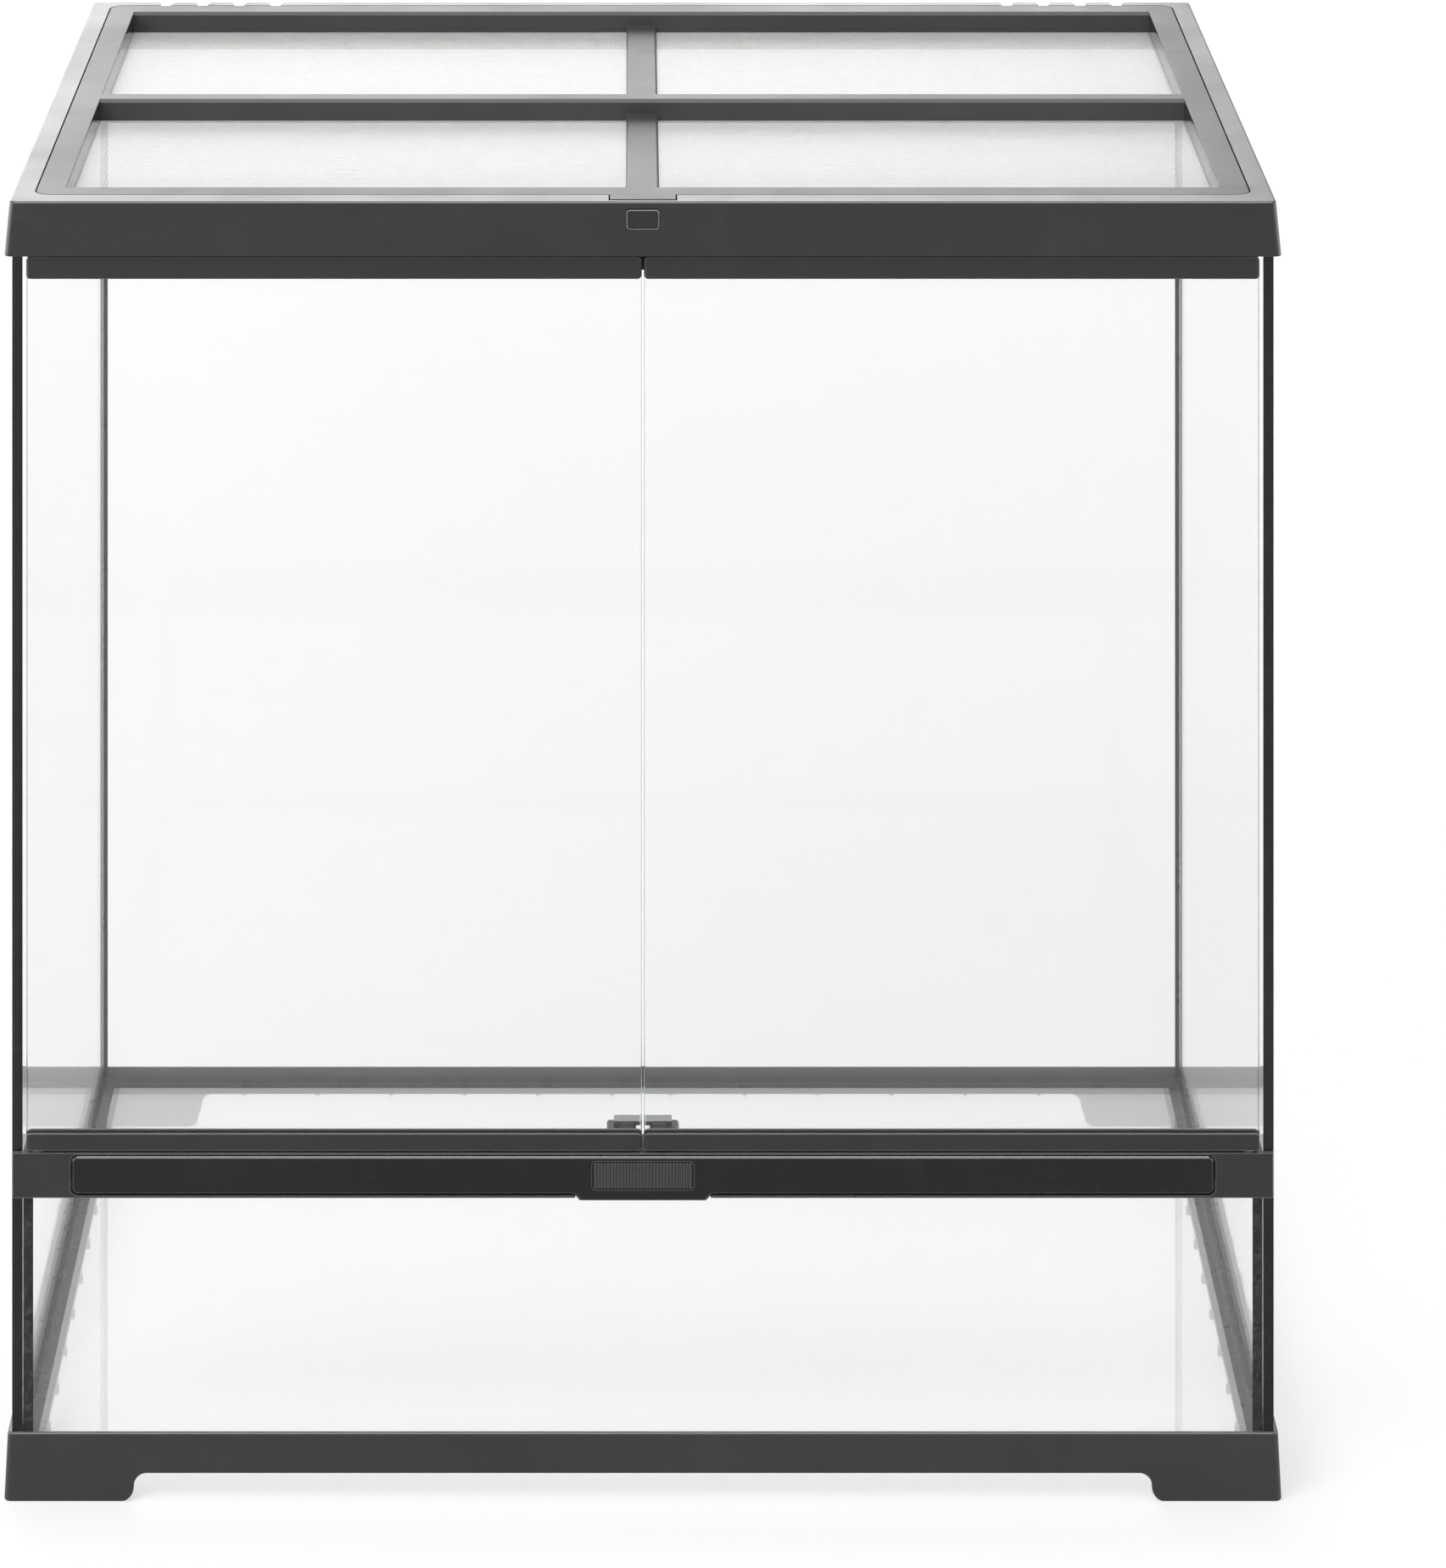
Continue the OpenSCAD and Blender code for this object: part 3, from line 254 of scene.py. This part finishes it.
def pane_finish():
    """Edge mask and faint marks of a cut pane."""
    group = new_group(
        "pane_finish",
        [("Edge axis X", 1.0), ("Edge axis Y", 1.0), ("Edge axis Z", 1.0), ("Rear edge", 1.0),
         ("Face colour", (0.98, 0.98, 0.98, 1)), ("Edge colour", (0.1, 0.12, 0.11, 1))],
        [("Colour", "Color"), ("Roughness", "Float")],
    )
    w = Wiring(group)
    put = group.nodes.new("NodeGroupInput")
    out = group.nodes.new("NodeGroupOutput")
    coord = w.node("TexCoord")
    place = coord.outputs["Object"]
    facing = w.node("SeparateXYZ", {0: coord.outputs["Normal"]})
    behind = w.math("GREATER_THAN", facing.outputs["Y"], 0.5)
    hidden = w.math("MULTIPLY", behind, w.math("SUBTRACT", 1.0, put.outputs["Rear edge"]))
    edge = 0.0
    for axis in "XYZ":
        side = w.math("GREATER_THAN", w.math("ABSOLUTE", facing.outputs[axis]), 0.5)
        side = w.math("MULTIPLY", side, put.outputs["Edge axis " + axis])
        edge = w.math("ADD", edge, side, clamp=True)
    edge = w.math("MULTIPLY", edge, w.math("SUBTRACT", 1.0, hidden))
    chatter = w.noise(place, 160.0, 4.0, 0.6)
    ground = w.mix(w.spread(chatter, 0.35, 0.65), put.outputs["Edge colour"], (0.22, 0.25, 0.24))
    ground = w.mix(0.75, ground, put.outputs["Edge colour"])
    w.tree.links.new(w.mix(edge, put.outputs["Face colour"], ground), out.inputs["Colour"])
    smear = w.spread(w.noise(place, 6.0, 5.0, 0.6), 0.50, 0.85, 0.0, 0.035)
    w.tree.links.new(w.math("ADD", smear, w.math("MULTIPLY", edge, 0.18)), out.inputs["Roughness"])
    return group


pane = pane_finish()


def glass(name, edge_axes, edge_colour, clearness, haze, ior=1.5, rear_edge=1.0):
    """Float glass with a little dust on it, which lets light through to what stands behind it."""
    material = bpy.data.materials.new(name)
    material.use_nodes = True
    w = Wiring(material.node_tree)
    skin = material.node_tree.nodes["Principled BSDF"]
    finish = w.node("Group", {}, node_tree=pane)
    for axis in "XYZ":
        finish.inputs["Edge axis " + axis].default_value = 1.0 if axis in edge_axes else 0.0
    finish.inputs["Rear edge"].default_value = rear_edge
    finish.inputs["Edge colour"].default_value = (*edge_colour, 1)
    finish.inputs["Face colour"].default_value = (clearness, clearness, clearness, 1)
    w.tree.links.new(finish.outputs["Colour"], skin.inputs["Base Color"])
    w.tree.links.new(finish.outputs["Roughness"], skin.inputs["Roughness"])
    skin.inputs["Transmission Weight"].default_value = 1.0 - haze
    skin.inputs["IOR"].default_value = ior
    path = w.node("LightPath")
    passing = w.math("MAXIMUM", path.outputs["Is Shadow Ray"], path.outputs["Is Diffuse Ray"])
    clear = w.node("BsdfTransparent", {"Color": (0.96, 0.97, 0.965, 1)})
    both = w.node("MixShader", {0: passing, 1: skin.outputs[0], 2: clear.outputs[0]})
    out = material.node_tree.nodes["Material Output"]
    w.tree.links.new(both.outputs[0], out.inputs["Surface"])
    return material


def ground_pane(node, material, body="tank", bevel=0.3 * MM):
    """A pane whose sharp edges are taken off with a stone."""
    sheet = copy_of(node, node + "_sheet")
    soften_edges(sheet, bevel, 1)
    put_on(sheet, material, body, "tank_glass", node)


side_glass = glass("side_pane_glass", "YZ", (0.060, 0.066, 0.063), 0.97, 0.01, 1.34, 0.15)
back_glass = glass("back_pane_glass", "XZ", (0.16, 0.17, 0.165), 0.955, 0.06, 1.2)
lower_glass = glass("lower_pane_glass", "XZ", (0.10, 0.13, 0.12), 0.99, 0.02, 1.2)
floor_glass = glass("floor_pane_glass", "XY", (0.10, 0.13, 0.12), 0.99, 0.28)
ground_pane("left_pane", side_glass)
ground_pane("right_pane", side_glass)
ground_pane("back_pane", back_glass)
ground_pane("lower_front_pane", lower_glass)
ground_pane("bottom_pane", floor_glass)


# ---------------------------------------------------------------------------
# Silicone beads: black sealant run into the inner corners of the glass box.
# Gunned in and smoothed with a finger, so the free face is slightly hollow.

def sealant(name, colour, speckle, wrinkle):
    """Cured rubber with pale specks and a finger-smoothed skin."""
    material = bpy.data.materials.new(name)
    material.use_nodes = True
    w = Wiring(material.node_tree)
    skin = material.node_tree.nodes["Principled BSDF"]
    place = w.node("TexCoord").outputs["Object"]
    blotch = w.spread(w.noise(place, 420.0, 5.0, 0.65), 0.50, 0.62, 0.0, speckle)
    w.tree.links.new(w.mix(blotch, colour, (0.16, 0.17, 0.17)), skin.inputs["Base Color"])
    sheen = w.spread(w.noise(place, 90.0, 3.0), 0.3, 0.7, 0.22, 0.42)
    w.tree.links.new(sheen, skin.inputs["Roughness"])
    folds = w.noise(place, 260.0, 4.0)
    relief = w.node("Bump", {"Height": folds, "Strength": wrinkle, "Distance": 0.0003})
    w.tree.links.new(relief.outputs["Normal"], skin.inputs["Normal"])
    skin.inputs["Specular IOR Level"].default_value = 0.2
    return material


# The beads at the back and on the floor are the same black silicone, given a paler colour as a
# painted sheen.
sheen_painted_black = sealant("black_silicone_painted_sheen", (0.060, 0.061, 0.060), 0.04, 0.06)
squeezed_black = sealant("squeezed_black_silicone", (0.018, 0.018, 0.018), 0.30, 0.25)
for node in ("floor_bead", "back_left_bead", "back_right_bead"):
    dress(node, sheen_painted_black)
for node in ("front_left_bead", "front_right_bead"):
    dress(node, squeezed_black)


# ---------------------------------------------------------------------------
# Front crossbar: hollow black moulding between the side panes, under the doors.
# It holds the lower pane, the latch bar and the door bushes.

FRAME_TONE = (0.013, 0.013, 0.0145)
frame_black = plastic("frame_black_plastic", FRAME_TONE, 0.40, 0.42)
# The pale edge colour paints highlight lines along the crossbar's and the door rails' edges.
bar_black = plastic("bar_black_plastic", FRAME_TONE, 0.40, 0.42, rubbed_and_highlit=1.0, edge_highlight_tone=0.30)

crossbar = copy_of("front_crossbar", "front_crossbar_moulding")
soften_edges(crossbar, 0.3 * MM)
put_on(crossbar, bar_black, "tank", "frame_plastic", "front_crossbar")


def metal(name, colour, roughness, brushed=0.0):
    """Drawn, pressed or woven steel."""
    material = bpy.data.materials.new(name)
    material.use_nodes = True
    w = Wiring(material.node_tree)
    skin = material.node_tree.nodes["Principled BSDF"]
    place = w.node("TexCoord").outputs["Object"]
    stretched = w.node("Mapping", {"Vector": place, "Scale": (40, 400, 400)}).outputs[0]
    streak = w.noise(stretched, 6.0, 3.0)
    tint = w.mix(w.spread(streak, 0.3, 0.7), tuple(c * 0.86 for c in colour), colour)
    w.tree.links.new(tint, skin.inputs["Base Color"])
    sheen = w.spread(streak, 0.3, 0.7, roughness - 0.06, roughness + 0.08)
    w.tree.links.new(sheen, skin.inputs["Roughness"])
    skin.inputs["Metallic"].default_value = 1.0
    if brushed:
        relief = w.node("Bump", {"Height": streak, "Strength": brushed, "Distance": 0.0001})
        w.tree.links.new(relief.outputs["Normal"], skin.inputs["Normal"])
    return material


wire_steel = metal("woven_wire_steel", (0.62, 0.62, 0.61), 0.34)
spring_steel = metal("drawn_spring_steel", (0.55, 0.55, 0.56), 0.25, 0.2)
dress("vent_screen", wire_steel)
dress("latch_springs", spring_steel)
nylon = plastic("bush_nylon", (0.62, 0.62, 0.58), 0.35, 0.5,
                grain_size=0.0004, bump=0.03, rubbed_and_highlit=0.0)
dress("hinge_bushes", nylon)


# ---------------------------------------------------------------------------
# Latch bar: a long tilting bar set into the crossbar, with a finger tab below.
# Smoother and darker than the frame. The two steel hooks behind it stay clear of
# the doors' clips, so they show the latch but hold nothing.

# Its paler edge colour paints a highlight outline on the bar.
latch_black = plastic("latch_bar_plastic", (0.009, 0.009, 0.010), 0.25, 0.24,
                      grain_size=0.0004, bump=0.03, rubbed_and_highlit=0.9, edge_highlight_tone=0.17)
clip_steel = metal("pressed_clip_steel", (0.27, 0.28, 0.28), 0.32, 0.3)

latch = copy_of("latch_bar", "latch_bar_moulding")
soften_edges(latch, 0.3 * MM)
put_on(latch, latch_black, "latch", "latch_plastic", "latch_bar")
dress("latch_hooks", clip_steel)


def select_edges(piece, chosen):
    """Goes into edit mode with only the edges selected whose two ends pass the test."""
    make_active(piece)
    bpy.ops.object.mode_set(mode="EDIT")
    bpy.ops.mesh.select_mode(type="EDGE")
    bpy.ops.mesh.select_all(action="DESELECT")
    bpy.ops.object.mode_set(mode="OBJECT")
    points = piece.data.vertices
    for edge in piece.data.edges:
        edge.select = chosen(points[edge.vertices[0]].co, points[edge.vertices[1]].co)
    bpy.ops.object.mode_set(mode="EDIT")


# A ribbed grip field in the middle of the bar's face, above the finger tab.
latch_low, latch_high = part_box("latch_bar")
TAB_DROP = 3 * MM
GRIP_PROUD = 0.28 * MM
GRIP_SIZE = (49 * MM, 0.8 * MM, 14 * MM)
GRIP_CORNER = 2.2 * MM
GRIP_RIM = 0.5 * MM
grip_middle = (0, latch_low.y - GRIP_PROUD + GRIP_SIZE[1] / 2,
               (latch_low.z + TAB_DROP + latch_high.z) / 2)

bpy.ops.mesh.primitive_cube_add(size=1)
grip = bpy.context.object
grip.name = grip.data.name = "latch_grip_field"
grip.data.transform(Matrix.Translation(grip_middle) @ Matrix.Diagonal((*GRIP_SIZE, 1)))
select_edges(grip, lambda a, b: abs(a.y - b.y) > 0.5 * MM)
bpy.ops.mesh.bevel(offset=GRIP_CORNER, segments=4, affect="EDGES")
bpy.ops.object.mode_set(mode="OBJECT")
select_edges(grip, lambda a, b: max(a.y, b.y) < latch_low.y)
bpy.ops.mesh.select_mode(type="FACE")
bpy.ops.mesh.inset(thickness=GRIP_RIM, depth=-0.9 * GRIP_PROUD)
bpy.ops.object.mode_set(mode="OBJECT")

RIBS = 30
RIB_PITCH = 1.55 * MM
RIB_SIZE = (0.6 * MM, GRIP_SIZE[1], 11.4 * MM)
bpy.ops.mesh.primitive_cube_add(size=1)
rib = bpy.context.object
rib_place = (-(RIBS - 1) / 2 * RIB_PITCH, grip_middle[1], grip_middle[2])
rib.data.transform(Matrix.Translation(rib_place) @ Matrix.Diagonal((*RIB_SIZE, 1)))
row = rib.modifiers.new("row", "ARRAY")
row.count = RIBS
row.use_relative_offset = False
row.use_constant_offset = True
row.constant_offset_displace = (RIB_PITCH, 0, 0)
apply_modifiers(rib)
make_active(grip)
rib.select_set(True)
bpy.ops.object.join()
soften_edges(grip, 0.1 * MM)
put_on(grip, latch_black, "latch", "latch_plastic")


# ---------------------------------------------------------------------------
# Top frame: black moulding glued over the upper edges of the panes.
# It has the pocket of the lid, the notch for its tongue and the cable inlets.

top = copy_of("top_frame", "top_frame_moulding")
soften_edges(top, 0.3 * MM)
put_on(top, frame_black, "tank", "frame_plastic", "top_frame")

shutter_black = plastic("shutter_plastic", (0.011, 0.011, 0.012), 0.38, 0.4)
for side in ("left", "right"):
    shutter = copy_of(side + "_cable_shutter", side + "_cable_shutter_comb")
    soften_edges(shutter, 0.2 * MM)
    put_on(shutter, shutter_black, side + "_shutter", "latch_plastic", side + "_cable_shutter")


# ---------------------------------------------------------------------------
# Doors: two panes with polished edges, each in an upper and a lower rail.
# A steel clip on rubber pads sits at the free corner, above the latch hook.

door_glass = glass("door_glass", "XZ", (0.36, 0.44, 0.40), 0.955, 0.03, 1.2)
pad_rubber = sealant("pad_rubber", (0.022, 0.022, 0.022), 0.05, 0.1)
for side in ("left", "right"):
    body = side + "_door"
    ground_pane(side + "_door_glass", door_glass, body, 0.6 * MM)
    dress(side + "_hinge_pins", spring_steel)
    for part in ("lower_rail", "upper_rail"):
        rail = copy_of(side + "_" + part, side + "_" + part + "_moulding")
        soften_edges(rail, 0.28 * MM)
        put_on(rail, bar_black, body, "frame_plastic", side + "_" + part)
    arm = copy_of(side + "_catch_arm", side + "_catch_arm_moulding")
    soften_edges(arm, 0.3 * MM)
    put_on(arm, latch_black, body, "latch_plastic", side + "_catch_arm")
    clip = copy_of(side + "_strike_clip", side + "_strike_clip_pressing")
    soften_edges(clip, 0.15 * MM)
    put_on(clip, clip_steel, body, "clip_steel", side + "_strike_clip")
    dress(side + "_catch_pads", pad_rubber)


# A lip under the top frame's front beam, behind the gap above the closed doors.
door_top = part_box("left_upper_rail")[1].z
door_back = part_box("left_upper_rail")[1].y
LIP_SIZE = (562 * MM, 2 * MM, 9 * MM)
LIP_CLEARANCE = 0.4 * MM
LIP_DROP = 8 * MM
bpy.ops.mesh.primitive_cube_add(size=1)
lip = bpy.context.object
lip.name = lip.data.name = "door_stop_lip"
lip_middle = (0, door_back + LIP_CLEARANCE + LIP_SIZE[1] / 2,
              door_top - LIP_DROP + LIP_SIZE[2] / 2)
lip.data.transform(Matrix.Translation(lip_middle) @ Matrix.Diagonal((*LIP_SIZE, 1)))
soften_edges(lip, 0.4 * MM)
put_on(lip, frame_black, "tank", "frame_plastic")


# ---------------------------------------------------------------------------
# Lid: a moulded black frame with a cross rail and two low bars, and four
# panels of fine woven steel mesh clamped from below.

lid_black = plastic("lid_black_plastic", (0.055, 0.055, 0.057), 0.42, 0.12)
polished_black = plastic("polished_core_plastic", (0.012, 0.012, 0.0135), 0.10, 0.5,
                         grain_size=0.0005, bump=0.0, rubbed_and_highlit=0.0)
lid = copy_of("lid_frame", "lid_frame_moulding")

# The bevel at the sides of the windows is drawn steeper than in the solids: its
# outer edge, on the lid's upper face, moves in.
MESH_RIM = 3 * MM
LID_BEVEL = 1.6 * MM
STEEP_BEVEL = 0.3 * MM
LID_FACE_Z = 0.6148
window_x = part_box("front_right_mesh")[1].x - MESH_RIM
for point in lid.data.vertices:
    off_bevel = abs(abs(point.co.x) - window_x - LID_BEVEL)
    if off_bevel < 0.1 * MM and point.co.z > LID_FACE_Z:
        point.co.x = math.copysign(window_x + STEEP_BEVEL, point.co.x)

# The lift tongue is drawn shorter: the points of its tip move back.
TONGUE_TIP = 1.2 * MM
TONGUE_CUT = 1.6 * MM
tongue_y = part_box("lid_frame")[0].y
for point in lid.data.vertices:
    if point.co.y < tongue_y + TONGUE_TIP:
        point.co.y += TONGUE_CUT
soften_edges(lid, 0.3 * MM)
put_on(lid, lid_black, "lid", "frame_plastic", "lid_frame")
lid.data.materials.append(polished_black)
for face in lid.data.polygons:
    if abs(face.normal.x) > 0.95 and abs(abs(face.center.x) - window_x) < 0.25 * MM:
        face.material_index = 1
retainer_grey = plastic("retainer_plastic", (0.24, 0.235, 0.215), 0.5, 0.4,
                        grain_size=0.0005, bump=0.05, rubbed_and_highlit=0.0)
dress("mesh_retainers", retainer_grey)
catch = copy_of("lid_catch", "lid_catch_moulding")
soften_edges(catch, 0.2 * MM)
put_on(catch, latch_black, "lid", "latch_plastic", "lid_catch")

WIRE = 0.22 * MM
PITCH = 1.46 * MM


def wires(length_axis, low, high, z):
    """Parallel wires between two corners, all along one axis."""
    across = 1 - length_axis
    bpy.ops.mesh.primitive_cube_add(size=1)
    wire = bpy.context.object
    size = [WIRE, WIRE, WIRE]
    size[length_axis] = high[length_axis] - low[length_axis]
    count = int((high[across] - low[across]) / PITCH)
    start = (low[across] + high[across] - (count - 1) * PITCH) / 2
    middle = [0, 0, z]
    middle[length_axis] = (low[length_axis] + high[length_axis]) / 2
    middle[across] = start
    wire.data.transform(Matrix.Translation(middle) @ Matrix.Diagonal((*size, 1)))
    row = wire.modifiers.new("row", "ARRAY")
    row.count = count
    row.use_relative_offset = False
    row.use_constant_offset = True
    row.constant_offset_displace = (0, PITCH, 0) if across else (PITCH, 0, 0)
    apply_modifiers(wire)
    return wire


for place in ("front_left", "front_right", "back_left", "back_right"):
    low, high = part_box(place + "_mesh")
    middle_z = (low.z + high.z) / 2
    screen = wires(0, low, high, middle_z + WIRE / 2)
    cross = wires(1, low, high, middle_z - WIRE / 2)
    make_active(screen)
    cross.select_set(True)
    bpy.ops.object.join()
    screen.name = screen.data.name = place + "_woven_screen"
    put_on(screen, wire_steel, "lid", "mesh_steel", place + "_mesh")


# ---------------------------------------------------------------------------
# Lid button: a small sprung key in the front of the top frame.
# It stands in front of the catch under the lid's tongue and doesn't touch it.

# Its very pale edge colour paints a bright highlight outline around the key.
key_black = plastic("button_key_plastic", (0.010, 0.010, 0.011), 0.32, 0.42,
                    grain_size=0.0005, bump=0.04, rubbed_and_highlit=1.0, edge_highlight_tone=0.80)
button = copy_of("lid_button", "lid_button_key")
soften_edges(button, 0.5 * MM)
put_on(button, key_black, "button", "frame_plastic", "lid_button")
dress("button_spring", spring_steel)


# ---------------------------------------------------------------------------
# Studio: a pale floor, a soft key light, a light panel behind to the left, three
# panels seen only in reflections, and a long lens whose back stays parallel to
# the front of the tank.

def stage_floor():
    """A white floor that looks lit to the camera and stays dim as a light."""
    bpy.ops.mesh.primitive_plane_add(size=1)
    floor = bpy.context.object
    floor.name = floor.data.name = "studio_floor"
    floor.data.transform(Matrix.Diagonal((60, 60, 1, 1)))
    material = bpy.data.materials.new("studio_floor_white")
    material.use_nodes = True
    material.cycles.emission_sampling = "NONE"
    w = Wiring(material.node_tree)
    skin = material.node_tree.nodes["Principled BSDF"]
    skin.inputs["Base Color"].default_value = (0.42, 0.42, 0.42, 1)
    skin.inputs["Roughness"].default_value = 0.9
    skin.inputs["Specular IOR Level"].default_value = 0.0
    path = w.node("LightPath")
    seen = w.math("MAXIMUM", path.outputs["Is Camera Ray"], path.outputs["Is Glossy Ray"])
    seen = w.math("MAXIMUM", seen, path.outputs["Is Transmission Ray"])
    skin.inputs["Emission Color"].default_value = (1, 1, 1, 1)
    w.tree.links.new(w.math("MULTIPLY", seen, 0.58), skin.inputs["Emission Strength"])
    floor.data.materials.append(material)


stage_floor()

world = bpy.data.worlds.new("studio_room")
bpy.context.scene.world = world
world.use_nodes = True
w = Wiring(world.node_tree)
room = world.node_tree.nodes["Background"]
path = w.node("LightPath")
seen = w.math("MAXIMUM", path.outputs["Is Camera Ray"], path.outputs["Is Transmission Ray"])
seen = w.math("MAXIMUM", seen, path.outputs["Is Glossy Ray"])
room.inputs["Color"].default_value = (1, 1, 1, 1)
w.tree.links.new(w.spread(seen, 0.0, 1.0, 0.75, 1.0), room.inputs["Strength"])


def light_panel(name, place, aim, size, power, only_gloss=False):
    """A rectangular lamp that the camera doesn't see."""
    lamp = bpy.data.lights.new(name, "AREA")
    lamp.shape = "RECTANGLE"
    lamp.size, lamp.size_y = size
    lamp.energy = power
    panel = bpy.data.objects.new(name, lamp)
    bpy.context.scene.collection.objects.link(panel)
    panel.location = place
    panel.rotation_euler = (Vector(aim) - Vector(place)).to_track_quat("-Z", "Y").to_euler()
    panel.visible_camera = False
    panel.visible_transmission = False
    panel.visible_diffuse = not only_gloss
    return panel


light_panel("soft_key", (-2.2, -2.6, 3.2), (0, 0, 0.3), (2.4, 2.4), 90)
light_panel("rear_panel", (-0.98, 4.4, 1.8), (-0.25, 0, 0.9), (3.6, 3.0), 125)
light_panel("top_gloss_panel", (0, -1.0, 2.9), (0, -1.0, 0), (2.6, 1.8), 210, only_gloss=True)
light_panel("left_gloss_panel", (-3.0, 0.3, 0.9), (0, 0.3, 0.9), (4.5, 2.4), 200, only_gloss=True)
light_panel("right_gloss_panel", (3.0, 0.3, 0.9), (0, 0.3, 0.9), (4.5, 2.4), 135, only_gloss=True)

camera = bpy.data.objects.new("studio_camera", bpy.data.cameras.new("studio_camera"))
mount = bpy.data.objects.new("camera_mount", None)
for item in (camera, mount):
    bpy.context.scene.collection.objects.link(item)
# The eye is in metres; the gaze and the lens are in pixels of the finished frame.
LENS_PX = 7115.0
FRAME_HEIGHT_PX = 1849
SENSOR_MM = 36
eye = Vector((-0.0054, -3.0838, 1.3099))
gaze = Vector((107.9, LENS_PX, -2416.3)).normalized()
camera.parent = mount
lens_board = Matrix.Identity(4)
lens_board.col[0] = (1, 0, 0, 0)
lens_board.col[1] = (0, 0, 1, 0)
lens_board.col[2] = (*-gaze, 0)
lens_board.col[3] = (*eye, 1)
camera.matrix_parent_inverse = lens_board
camera.data.sensor_width = SENSOR_MM
camera.data.lens = SENSOR_MM * LENS_PX / gaze.y / FRAME_HEIGHT_PX
camera.data.clip_end = 100
bpy.context.scene.camera = camera
bpy.context.scene.view_settings.view_transform = "Standard"
